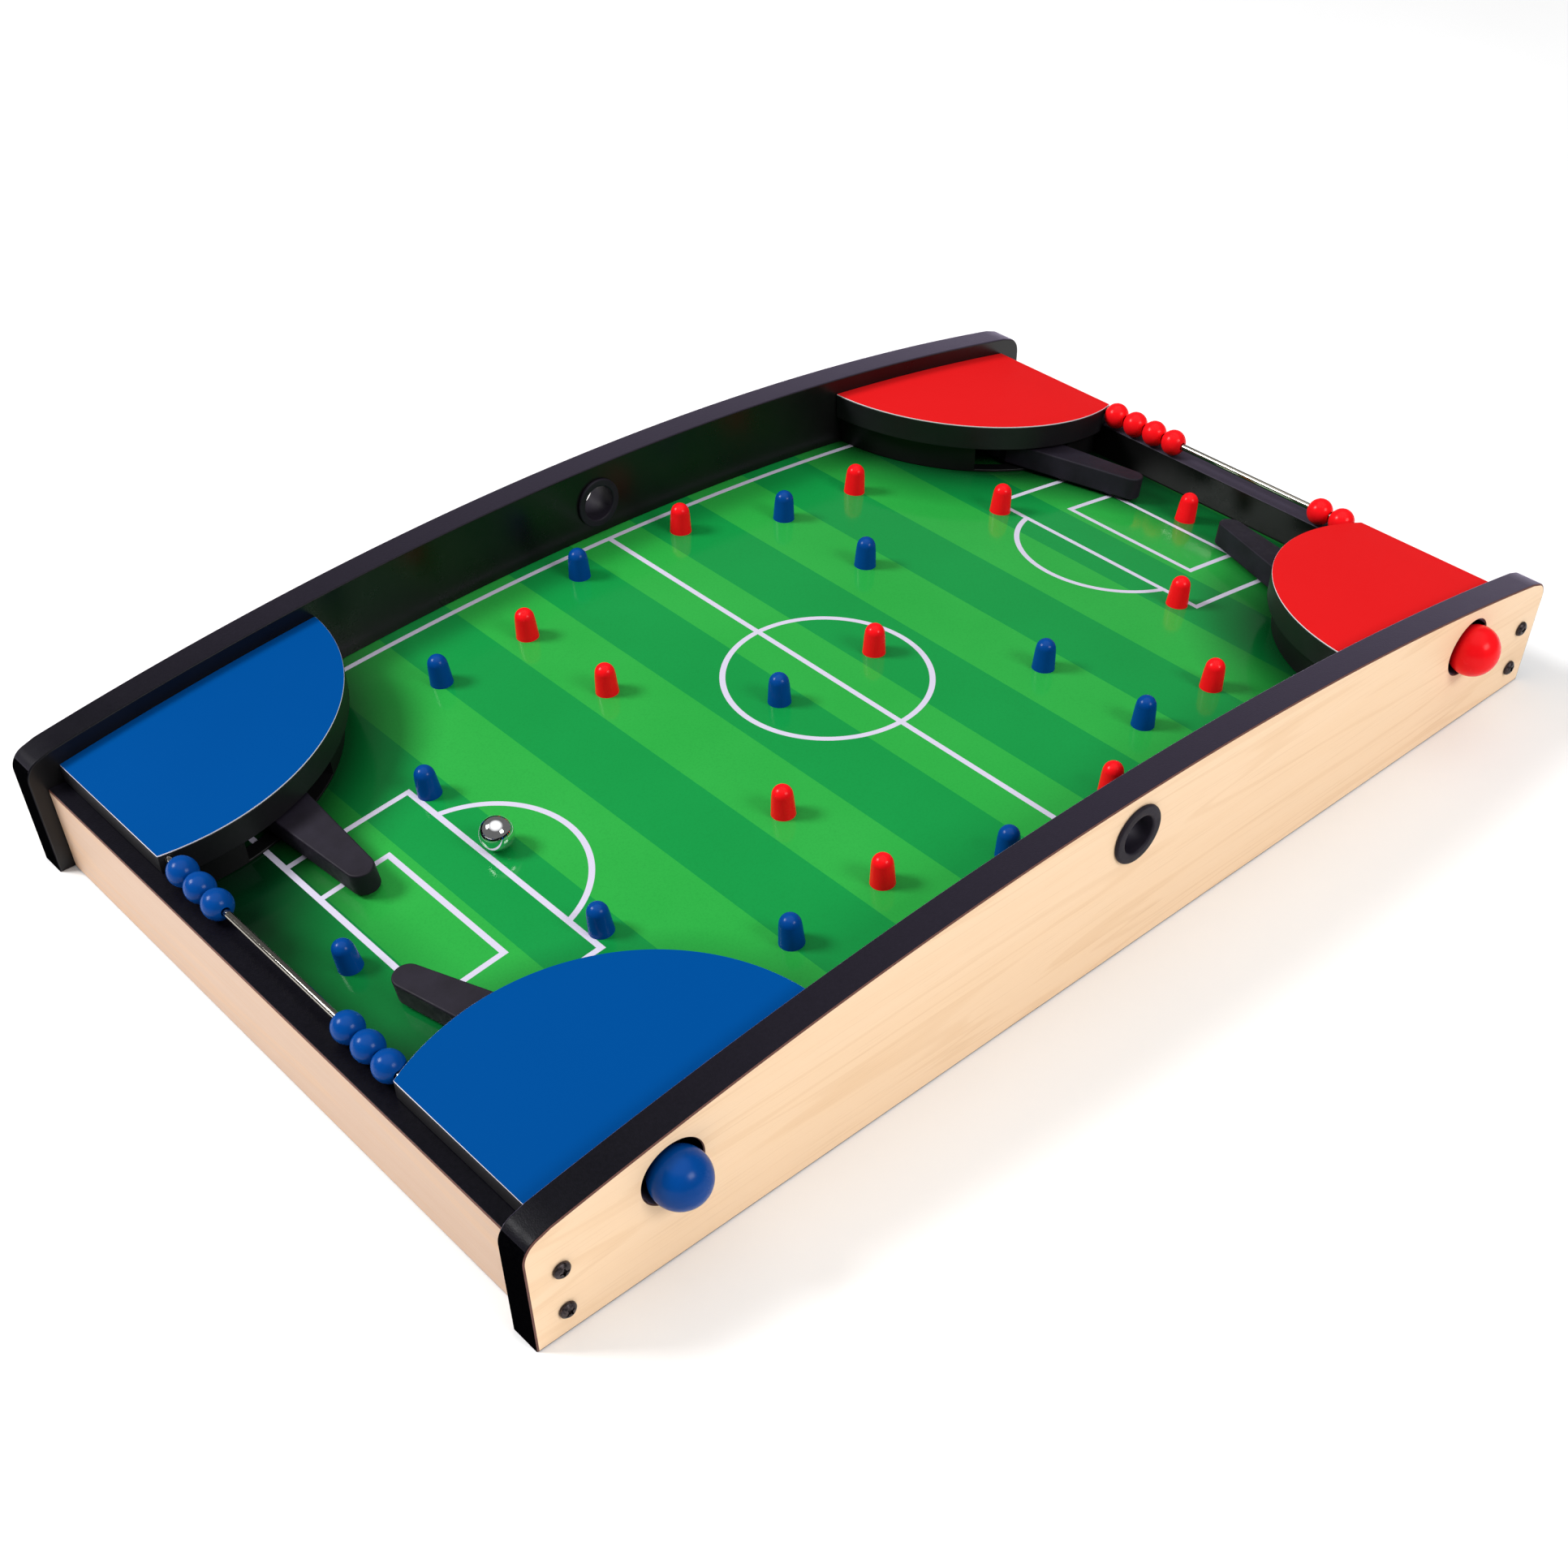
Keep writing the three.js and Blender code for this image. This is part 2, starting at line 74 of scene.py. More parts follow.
PEG_H = 0.016
PEG_BASE_R = 0.006
PEG_TOP_R = 0.0051
PEG_SUNK = 0.0015
PEG_PLACES = [
    (0.284, 0), (0.1955, 0.0655), (0.1955, -0.0655), (0.1425, 0.131), (0.1425, -0.131), (0.0323, 0),
    (0.035, 0.157), (0.035, -0.157), (-0.0885, 0.0655), (-0.0885, -0.0655), (-0.0885, 0.1315),
    (-0.0885, -0.1315),
]

PIVOT = Vector((0.252, 0.118))
FLIP_LEN = 0.084
FLIP_TIP_R = 0.007
FLIP_BASE = 0.012
FLIP_LOW = 0.0022
FLIP_TOP = 0.0146
BLADE_START = 0.0084
HUB_R = 0.009
HUB_TOP = 0.0086
BOSS_R = 0.0042
CRANK_R = 0.0115
CRANK_PIN_R = 0.0016
CRANK_ARM_R = 0.004
PIN_BORE_R = 0.00225
PIN_R = 0.002
PIN_ENDS = (-0.004, 0.0156)
WIRE_R = 0.00048
REST_DEG = 16.0
MID_DEG = -4.0

KNOB_HOLE_R = 0.0154
KNOB_STEP = 0.0022
ROD_BORE_R = 0.011
FEED_BORE = 0.0094
FEED_BARREL = 0.0118
FEED_IN_R = 0.0134

SCREW_SHANK_R = 0.0018
SCREW_HOLE_R = 0.0021
CROSS_DEPTH = 0.0016
CROSS_HALF = (0.0022, 0.00042)
CROSS_TURN = 20

# The printed pitch
STRIPE = 0.0413
LINE = 0.0016
CIRCLE_R = 0.0527
GOAL_LINE_X = 0.271
TOUCH_Y = 0.176
PENALTY_BOX = (0.2023, 0.07375)
GOAL_BOX = (0.2333, 0.0446)
ARC_X = 0.216
ARC_R = 0.0523
# Centre of the darkest painted shade on the pitch, beside the goals
SHADE_SPOT = Vector((0.312, 0.085))

CORNERS = [("blue", "near", -1, -1), ("blue", "far", -1, 1), ("red", "near", 1, -1), ("red", "far", 1, 1)]

# ---------------------------------------------------------------- places taken from the frame
side_low, side_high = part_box("side_panel_far")
HALF_L, HALF_W, TOP_MID, INNER_Y = side_high.x, side_high.y, side_high.z, side_low.y
end_low, end_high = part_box("end_panel_red")
END_IN, END_OUT, END_H = end_low.x, end_high.x, end_high.z
COVER_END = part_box("corner_cover_red_far")[1].x
BOARD_X = END_IN - GAP


def middle(node):
    low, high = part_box(node)
    return (low + high) / 2


def arch(x, drop=0.0):
    """Height of the long panels' arched top, or of a surface that lies below it."""
    return TOP_MID - TOP_R + math.sqrt((TOP_R - drop) ** 2 - x * x)


def dome(x, rise=0.0):
    """Height of the pitch, or of a surface above it."""
    return PITCH_MID - PITCH_R + math.sqrt((PITCH_R + rise) ** 2 - x * x)


def on_dome(x, y):
    """The frame of the plane that touches the dome at a point."""
    return Matrix.Translation((x, y, dome(x))) @ Matrix.Rotation(math.asin(x / PITCH_R), 4, "Y")


def along_y(x, z):
    """Turns what is made along +Z to lie along +Y."""
    return Matrix.Translation((x, 0, z)) @ Matrix.Rotation(math.radians(-90), 4, "X")


# ---------------------------------------------------------------- mesh tools
def smooth(obj, sharp=40.0):
    obj.data.shade_smooth()
    obj.data.set_sharp_from_angle(angle=math.radians(sharp))
    return obj


def make_object(bm, name):
    bmesh.ops.remove_doubles(bm, verts=bm.verts, dist=1e-7)
    bmesh.ops.recalc_face_normals(bm, faces=bm.faces)
    if bm.calc_volume(signed=True) < 0:
        bmesh.ops.reverse_faces(bm, faces=bm.faces)
    mesh = bpy.data.meshes.new(name)
    bm.to_mesh(mesh)
    bm.free()
    obj = bpy.data.objects.new(name, mesh)
    bpy.context.scene.collection.objects.link(obj)
    return smooth(obj)


def apply_modifiers(obj):
    bpy.context.view_layer.update()
    seen = obj.evaluated_get(bpy.context.evaluated_depsgraph_get())
    mesh = bpy.data.meshes.new_from_object(seen)
    obj.modifiers.clear()
    obj.data = mesh
    return obj


def combine(obj, tools, operation):
    """Joins the tools to the object or cuts them out of it, and removes them."""
    for tool in tools:
        step = obj.modifiers.new("combine", "BOOLEAN")
        step.operation = operation
        step.solver = "EXACT"
        step.object = tool
        apply_modifiers(obj)
        bpy.data.objects.remove(tool)
    return smooth(obj)


def even_shading(obj):
    """Lets the large faces keep flat shading beside their rounded rims."""
    step = obj.modifiers.new("normals", "WEIGHTED_NORMAL")
    step.keep_sharp = True
    return apply_modifiers(obj)


def moved(obj, matrix):
    obj.data.transform(matrix)
    if matrix.determinant() < 0:
        obj.data.flip_normals()
    return obj


def arc(cx, cy, r, start, end, steps):
    """Points on an arc, with its angles in degrees."""
    angles = [math.radians(start + (end - start) * i / steps) for i in range(steps + 1)]
    return [Vector((cx + r * math.cos(a), cy + r * math.sin(a))) for a in angles]


def fillet(points, radii, steps=5):
    """An open line with its inner corners rounded. radii is one radius or one for each inner corner."""
    points = [Vector(p) for p in points]
    if not isinstance(radii, (list, tuple)):
        radii = [radii] * (len(points) - 2)
    line = [points[0]]
    for i, radius in enumerate(radii, 1):
        here = points[i]
        back, ahead = points[i - 1] - here, points[i + 1] - here
        turn = math.pi - back.angle(ahead)
        cut = radius * math.tan(turn / 2)
        if cut < 1e-7:
            line.append(here)
            continue
        cut = min(cut, 0.49 * back.length, 0.49 * ahead.length)
        first, last = here + back.normalized() * cut, here + ahead.normalized() * cut
        weight = math.cos(turn / 2)
        for k in range(steps + 1):
            t = k / steps
            a, b, c = (1 - t) ** 2, 2 * weight * t * (1 - t), t * t
            line.append((first * a + here * b + last * c) / (a + b + c))
    return line + [points[-1]]


def lathe(name, profile, segments=64, matrix=None):
    """A turned piece. The profile's points are (radius, height), from axis to axis or round to the first."""
    matrix = matrix or Matrix.Identity(4)
    profile = [tuple(p) for p in profile]
    closed = (Vector(profile[0]) - Vector(profile[-1])).length < 1e-9
    bm = bmesh.new()
    rings = []
    for r, h in profile[:-1] if closed else profile:
        count = segments if r > 1e-7 else 1
        turns = [2 * math.pi * i / count for i in range(count)]
        rings.append([bm.verts.new(matrix @ Vector((r * math.cos(a), r * math.sin(a), h))) for a in turns])
    for low, high in zip(rings, rings[1:] + (rings[:1] if closed else [])):
        for i in range(segments):
            j = i + 1
            corners = [low[i % len(low)], low[j % len(low)], high[j % len(high)], high[i % len(high)]]
            corners = list(dict.fromkeys(corners))
            if len(corners) > 2:
                bm.faces.new(corners)
    return make_object(bm, name)


def inset(outline, distance):
    """The outline moved inwards; it runs anticlockwise."""
    inner = []
    for i, here in enumerate(outline):
        before, after = outline[i - 1], outline[(i + 1) % len(outline)]
        u, v = (here - before).normalized(), (after - here).normalized()
        across = Vector((-u.y - v.y, u.x + v.x)).normalized()
        inner.append(here + across * (distance / max(0.4, across.dot(Vector((-u.y, u.x))))))
    return inner


def across_x(x, y, z):
    """A swap for slab: the outline is drawn in the YZ plane and its heights are along X."""
    return z, x, y


def across_y(x, y, z):
    """A swap for slab: the outline is drawn in the XZ plane and its heights are along Y."""
    return x, z, y


def slab(name, outline, low, high, rounding, ribbed=False, rim_steps=3, swap=None):
    """A closed slab over an outline, with rounded rims. low and high are heights, or functions of a point.
    ribbed: the outline is two chains of as many points, and both faces are strips between them.
    swap turns the slab's own axes into the frame's."""
    outline = [Vector(p) for p in outline]
    low_at = low if callable(low) else lambda p: low
    high_at = high if callable(high) else lambda p: high
    swap = swap or (lambda x, y, z: (x, y, z))
    bm = bmesh.new()
    rims = []
    for k in range(rim_steps + 1):
        a = math.pi / 2 * k / rim_steps
        rims.append((rounding * (1 - math.sin(a)), rounding * (1 - math.cos(a))))
    rings = []
    for height, sign, order in ((low_at, 1, rims), (high_at, -1, rims[::-1])):
        for inward, lift in order:
            points = inset(outline, inward)
            rings.append([
                bm.verts.new(swap(p.x, p.y, height(q) + sign * lift)) for p, q in zip(points, outline)
            ])
    count = len(outline)
    for lower, upper in zip(rings, rings[1:]):
        for i in range(count):
            j = (i + 1) % count
            bm.faces.new([lower[i], lower[j], upper[j], upper[i]])
    for ring in (rings[0], rings[-1]):
        if ribbed:
            for i in range(count // 2 - 1):
                bm.faces.new([ring[i], ring[i + 1], ring[count - 2 - i], ring[count - 1 - i]])
        else:
            bm.faces.new(ring)
    return make_object(bm, name)


def tube(name, points, radius, sides=10):
    """A round wire along a smooth line through the points."""
    line = bpy.data.curves.new(name, "CURVE")
    line.dimensions = "3D"
    line.bevel_depth = radius
    line.bevel_resolution = sides // 4
    line.use_fill_caps = True
    spline = line.splines.new("POLY")
    spline.points.add(len(points) - 1)
    for point, place in zip(spline.points, points):
        point.co = (*place, 1)
    bent = bpy.data.objects.new(name, line)
    bpy.context.scene.collection.objects.link(bent)
    bpy.context.view_layer.update()
    mesh = bpy.data.meshes.new_from_object(bent.evaluated_get(bpy.context.evaluated_depsgraph_get()))
    bpy.data.objects.remove(bent)
    bm = bmesh.new()
    bm.from_mesh(mesh)
    return make_object(bm, name)


def paint_faces(obj, choose):
    """Sets each face's material by its normal and its middle."""
    for face in obj.data.polygons:
        face.material_index = choose(face.normal, face.center)


def add_piece(obj, body, slot, materials, *nodes):
    for material in materials if isinstance(materials, (list, tuple)) else [materials]:
        obj.data.materials.append(material)
    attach(obj, body)
    if nodes:
        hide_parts(*nodes)
    return obj


# ---------------------------------------------------------------- materials
def srgb(red, green, blue):
    """A colour from its 0 to 255 screen values."""
    values = [v / 255 for v in (red, green, blue)]
    return [v / 12.92 if v <= 0.04045 else ((v + 0.055) / 1.055) ** 2.4 for v in values] + [1.0]


class Field:
    """A number over the surface, with arithmetic that makes shader nodes."""

    def __init__(self, look, socket):
        self.look, self.socket = look, socket

    def math(self, operation, *others, clamp=False):
        node = self.look.tree.nodes.new("ShaderNodeMath")
        node.operation = operation
        node.use_clamp = clamp
        for place, value in enumerate((self, *others)):
            self.look.put(node.inputs[place], value)
        return Field(self.look, node.outputs[0])

    def __add__(self, other):
        return self.math("ADD", other)

    def __sub__(self, other):
        return self.math("SUBTRACT", other)

    def __mul__(self, other):
        return self.math("MULTIPLY", other)

    def __truediv__(self, other):
        return self.math("DIVIDE", other)

    def __abs__(self):
        return self.math("ABSOLUTE")

    def most(self, other):
        return self.math("MAXIMUM", other)

    def below(self, other):
        return self.math("LESS_THAN", other)

    def line(self, half_width, soft=0.0002):
        """1 where the distance is within the half width, 0 outside."""
        return self.math("MULTIPLY", -1.0).math("ADD", half_width).math("DIVIDE", soft, clamp=True)


class Look:
    """One material, and short ways to make its nodes."""

    def __init__(self, name, **settings):
        self.material = bpy.data.materials.new(name)
        self.material.use_nodes = True
        self.tree = self.material.node_tree
        self.bsdf = self.tree.nodes["Principled BSDF"]
        self.place = self.tree.nodes.new("ShaderNodeTexCoord").outputs["Object"]
        for socket, value in settings.items():
            self.bsdf.inputs[socket.replace("_", " ")].default_value = value

    def put(self, socket, value):
        if isinstance(value, Field):
            value = value.socket
        if isinstance(value, bpy.types.NodeSocket):
            self.tree.links.new(value, socket)
        else:
            socket.default_value = value

    def axes(self):
        node = self.tree.nodes.new("ShaderNodeSeparateXYZ")
        self.tree.links.new(self.place, node.inputs[0])
        return [Field(self, out) for out in node.outputs]

    def stretched(self, scale):
        node = self.tree.nodes.new("ShaderNodeMapping")
        self.tree.links.new(self.place, node.inputs["Vector"])
        node.inputs["Scale"].default_value = scale
        return node.outputs["Vector"]

    def noise(self, scale, detail=3.0, roughness=0.5, distortion=0.0, place=None):
        node = self.tree.nodes.new("ShaderNodeTexNoise")
        self.tree.links.new(place or self.place, node.inputs["Vector"])
        settings = {"Scale": scale, "Detail": detail, "Roughness": roughness, "Distortion": distortion}
        for socket, value in settings.items():
            node.inputs[socket].default_value = value
        return Field(self, node.outputs["Fac"])

    def cells(self, scale):
        node = self.tree.nodes.new("ShaderNodeTexVoronoi")
        self.tree.links.new(self.place, node.inputs["Vector"])
        node.inputs["Scale"].default_value = scale
        return Field(self, node.outputs["Distance"])

    def ramp(self, factor, *stops):
        node = self.tree.nodes.new("ShaderNodeValToRGB")
        self.put(node.inputs[0], factor)
        band = node.color_ramp
        while len(band.elements) < len(stops):
            band.elements.new(0.5)
        for element, (at, colour) in zip(band.elements, stops):
            element.position = at
            element.color = colour if not isinstance(colour, (int, float)) else (colour, colour, colour, 1)
        return Field(self, node.outputs[0])

    def mix(self, factor, first, second, blend="MIX"):
        node = self.tree.nodes.new("ShaderNodeMix")
        node.data_type = "RGBA"
        node.blend_type = blend
        for place, value in ((0, factor), (6, first), (7, second)):
            self.put(node.inputs[place], value)
        return Field(self, node.outputs[2])

    def bump(self, height, strength, distance):
        node = self.tree.nodes.new("ShaderNodeBump")
        node.inputs["Strength"].default_value = strength
        node.inputs["Distance"].default_value = distance
        self.put(node.inputs["Height"], height)
        self.put(self.bsdf.inputs["Normal"], node.outputs[0])

    def colour(self, value):
        self.put(self.bsdf.inputs["Base Color"], value)

    def rough(self, value):
        self.put(self.bsdf.inputs["Roughness"], value)


def maple(name, along, light, deep):
    """Pale maple print: fine pores, soft bands and a few arches that run along X or Y."""
    look = Look(name, Roughness=0.42, Specular_IOR_Level=0.3)

    def run(long, fine):
        return look.stretched((long, fine, fine) if along == "X" else (fine, long, fine))

    bands = look.noise(1.0, 4.0, 0.55, 0.6, place=run(2.2, 46))
    pores = look.noise(1.0, 3.0, 0.7, 0.2, place=run(14, 900))
    arches = look.noise(1.0, 2.0, 0.45, 1.6, place=run(3.0, 30))
    rings = (arches * 16.0).math("SINE") * 0.5 + 0.5
    tone = look.mix(look.ramp(bands, (0.3, 0.0), (0.74, 0.45)), light, deep)
    tone = look.mix(look.ramp(rings, (0.86, 0.0), (0.99, 0.2)), tone, srgb(222, 176, 124))
    tone = look.mix(look.ramp(pores, (0.55, 0.0), (0.72, 0.26)), tone, srgb(210, 166, 118))
    look.colour(tone)
    look.rough(look.ramp(pores, (0.3, 0.38), (0.75, 0.52)))
    look.bump(pores, 0.1, 0.0001)
    return look.material


def black_edging():
    """Pebbled black banding with a faint violet cast, and a painted sheen that makes it paler toward the red
    end.
    """
    look = Look(
        "black_edging", Roughness=0.4, Specular_IOR_Level=0.08, Sheen_Weight=1.0, Sheen_Roughness=0.3,
        Sheen_Tint=srgb(214, 200, 236),
    )
    x, _, _ = look.axes()
    # Painted sheen: the base colour grows paler along X toward the red end
    painted_sheen = look.ramp(x + 0.5, (0.2, srgb(1, 1, 3)), (0.8, srgb(56, 50, 63)))
    pebbles = look.cells(1500) + look.noise(2600, 2.0, 0.6) * 0.6
    mottle = look.ramp(look.noise(700, 3.0, 0.6), (0.35, srgb(2, 2, 5)), (0.7, srgb(9, 8, 14)))
    look.colour(look.mix(1.0, painted_sheen, mottle, "ADD"))
    look.rough(look.ramp(look.noise(90, 4.0, 0.6), (0.3, 0.34), (0.75, 0.46)))
    look.bump(pebbles, 0.35, 0.00012)
    return look.material


def dull_black():
    """Flat black of the panels' end faces."""
    look = Look("dull_black", Roughness=0.6, Specular_IOR_Level=0.0)
    look.colour(look.ramp(look.noise(500, 3.0, 0.6), (0.35, srgb(2, 2, 3)), (0.75, srgb(5, 5, 6))))
    look.bump(look.noise(1500, 2.0, 0.6), 0.1, 0.00006)
    return look.material


def black_board(name, tone, roughness):
    """Smooth dark laminate."""
    look = Look(name, Roughness=roughness, Specular_IOR_Level=0.3)
    haze = look.noise(24, 4.0, 0.6)
    dust = look.noise(1900, 2.0, 0.5)
    look.colour(look.ramp(haze, (0.35, tone), (0.75, [v * 1.5 for v in tone[:3]] + [1.0])))
    look.rough(look.ramp(haze, (0.3, roughness - 0.06), (0.75, roughness + 0.08)))
    look.bump(dust, 0.08, 0.00005)
    return look.material


def moulded_black():
    """Fine-grained matt black of the flippers."""
    look = Look("moulded_black", Roughness=0.55, Specular_IOR_Level=0.18)
    grain = look.noise(3200, 2.0, 0.6)
    look.colour(look.ramp(look.noise(60, 4.0, 0.6), (0.35, srgb(25, 21, 30)), (0.7, srgb(34, 30, 41))))
    look.rough(look.ramp(look.noise(220, 3.0, 0.6), (0.3, 0.5), (0.75, 0.62)))
    look.bump(grain, 0.2, 0.00006)
    return look.material


def sheet_print(name, tone, bright):
    """Satin colour printed on a stiff sheet."""
    look = Look(name, Roughness=0.5, Specular_IOR_Level=0.01)
    cloud = look.noise(9, 3.0, 0.5)
    fibre = look.noise(1300, 3.0, 0.6)
    look.colour(look.mix(look.ramp(cloud, (0.3, 0.0), (0.8, 0.5)), tone, bright))
    look.rough(look.ramp(fibre, (0.3, 0.42), (0.75, 0.52)))
    look.bump(fibre, 0.06, 0.00005)
    return look.material


def gloss_paint(name, tone, deep):
    """Gloss paint over turned wood: a thin orange peel and a little depth of tone."""
    look = Look(name, Roughness=0.26, Specular_IOR_Level=0.09, Coat_Weight=0.03, Coat_Roughness=0.1)
    peel = look.noise(420, 2.0, 0.5)
    look.colour(look.mix(look.ramp(look.noise(70, 3.0, 0.6), (0.3, 0.0), (0.8, 0.6)), tone, deep))
    look.rough(look.ramp(look.noise(160, 3.0, 0.6), (0.3, 0.2), (0.8, 0.3)))
    look.bump(peel, 0.05, 0.0001)
    return look.material


def polished_metal(name, tone, roughness, lines):
    """Bright metal with faint scratches or drawing lines."""
    look = Look(name, Roughness=roughness, Metallic=1.0)
    marks = look.noise(1.0, 3.0, 0.6, place=look.stretched(lines))
    look.colour(look.ramp(marks, (0.3, [v * 0.9 for v in tone[:3]] + [1.0]), (0.7, tone)))
    look.rough(look.ramp(marks, (0.35, roughness * 0.7), (0.75, roughness * 1.5)))
    look.bump(marks, 0.02, 0.00002)
    return look.material


def black_oxide():
    """Blackened steel of the screws, worn a little bright."""
    look = Look("black_oxide", Roughness=0.32, Metallic=0.75)
    worn = look.noise(900, 4.0, 0.65)
    look.colour(look.ramp(worn, (0.4, srgb(38, 34, 36)), (0.7, srgb(84, 74, 76))))
    look.rough(look.ramp(worn, (0.3, 0.25), (0.75, 0.45)))
    look.bump(worn, 0.1, 0.00005)
    return look.material


def plain_card(name, tone):
    """The cut edge of a board or sheet."""
    look = Look(name, Roughness=0.7)
    speck = look.noise(2400, 3.0, 0.6)
    look.colour(look.ramp(speck, (0.3, [v * 0.85 for v in tone[:3]] + [1.0]), (0.7, tone)))
    look.bump(speck, 0.15, 0.00005)
    return look.material


def pitch_print():
    """Mown stripes and white markings, printed on a glossy board, with painted shade at both ends, round the
    corner covers and beside the goals.
    """
    look = Look("pitch_print", Roughness=0.13, Specular_IOR_Level=0.22)
    x, y, _ = look.axes()
    far_x, far_y = abs(x), abs(y)

    def frame_line(near_x, half_y):
        """Outline of the box between a line across the pitch and the goal line."""
        mid, half = (near_x + GOAL_LINE_X) / 2, (GOAL_LINE_X - near_x) / 2
        return abs((abs(far_x - mid) - half).most(far_y - half_y)).line(LINE)

    def ring(from_x, radius):
        away = far_x - from_x
        return abs((away * away + y * y).math("SQRT") - radius).line(LINE)

    marks = far_x.line(LINE) * far_y.below(TOUCH_Y)
    marks = marks.most(abs((far_x - GOAL_LINE_X).most(far_y - TOUCH_Y)).line(LINE))
    marks = marks.most(ring(0.0, CIRCLE_R))
    marks = marks.most(ring(ARC_X, ARC_R) * far_x.below(PENALTY_BOX[0]))
    for near_x, half_y in (PENALTY_BOX, GOAL_BOX):
        marks = marks.most(frame_line(near_x, half_y))

    band = (far_x / STRIPE + 0.5).math("FLOOR")
    dark = band.math("MODULO", 2.0)
    cloud = look.noise(16, 3.0, 0.5)
    light_green = look.mix(cloud, srgb(32, 149, 55), srgb(46, 160, 66))
    dark_green = look.mix(cloud, srgb(13, 131, 57), srgb(18, 140, 64))
    grass = look.mix(dark, light_green, dark_green)
    fleck = look.noise(900, 2.0, 0.6)
    grass = look.mix(look.ramp(fleck, (0.45, 0.0), (0.75, 0.12)), grass, srgb(8, 90, 34))
    # Painted shade: the grass darkens softly at both ends, round the corner covers and beside the goals,
    # standing in for shadows
    corner_x, corner_y = far_x - COVER_ARC.x, far_y - COVER_ARC.y
    corner = (corner_x * corner_x + corner_y * corner_y).math("SQRT")
    corner_painted_light = look.ramp(corner / 0.2, (0.5, 0.2), (0.6, 0.56), (0.74, 1.0))
    shade_spot_x, shade_spot_y = far_x - SHADE_SPOT.x, y - SHADE_SPOT.y
    spot_painted_light = look.ramp((shade_spot_x * shade_spot_x + shade_spot_y * shade_spot_y).math("SQRT") / 0.1, (0.3, 0.12), (0.85, 1.0))
    end_painted_light = look.ramp(far_x / 0.4, (0.62, 1.0), (0.74, 0.4))
    # Mixes the dark green of the painted shade into the grass
    grass = look.mix(corner_painted_light * spot_painted_light * end_painted_light, srgb(3, 28, 14), grass)
    look.colour(look.mix(marks, grass, srgb(196, 191, 210)))
    look.rough(look.ramp(look.noise(40, 4.0, 0.6), (0.3, 0.1), (0.75, 0.17)))
    look.bump(look.noise(160, 3.0, 0.5), 0.015, 0.0002)
    return look.material


EDGING = black_edging()
END_FACE = dull_black()
INNER_BOARD = black_board("black_laminate", srgb(13, 12, 13), 0.3)
COVER_BOARD = black_board("cover_board_edge", srgb(20, 19, 22), 0.42)
HOUSING_PAINT = black_board("housing_paint", srgb(12, 12, 13), 0.4)
MOULDED = moulded_black()
BROWN_LINE = plain_card("banding_line", srgb(104, 62, 52))
WHITE_CARD = plain_card("sheet_cut_edge", srgb(240, 236, 244))
PITCH_BACK = plain_card("board_back", srgb(196, 160, 116))
PAINT = {
    "blue": gloss_paint("blue_paint", srgb(1, 66, 140), srgb(1, 58, 129)),
    "red": gloss_paint("red_paint", srgb(248, 20, 28), srgb(238, 15, 23)),
}
SHEET = {
    "blue": sheet_print("blue_sheet", srgb(0, 67, 133), srgb(0, 71, 140)),
    "red": sheet_print("red_sheet", srgb(209, 25, 27), srgb(216, 29, 31)),
}
CHROME = polished_metal("polished_steel", srgb(232, 232, 234), 0.06, (900, 900, 900))
DRAWN_STEEL = polished_metal("drawn_steel", srgb(206, 206, 210), 0.22, (2400, 40, 2400))
OXIDE = black_oxide()
ROD_STEEL = polished_metal("score_rod_steel", srgb(168, 163, 154), 0.1, (900, 900, 900))
MAPLE_X = maple("maple_long", "X", srgb(250, 218, 182), srgb(242, 204, 161))
# The end panels' maple is a darker copy of the long panels' maple: painted shade on their outer faces
MAPLE_Y_SHADED = maple("maple_short_shaded", "Y", srgb(205, 174, 150), srgb(196, 161, 134))
PITCH = pitch_print()


# ---------------------------------------------------------------- frame panels
def hole_cutter(radius, near_y, far_y, x, z, flare=0.0005, segments=72, rims=(True, True)):
    """Cuts a hole along Y and breaks its rims where it comes out of the board."""
    out = 0.002
    near_rim = [(0, near_y - out), (radius + flare + out, near_y - out), (radius, near_y + flare)]
    far_rim = [(radius, far_y - flare), (radius + flare + out, far_y + out), (0, far_y + out)]
    near_end = near_rim if rims[0] else [(0, near_y), (radius, near_y)]
    far_end = far_rim if rims[1] else [(radius, far_y), (0, far_y)]
    return lathe("cutter", near_end + far_end, segments, along_y(x, z))


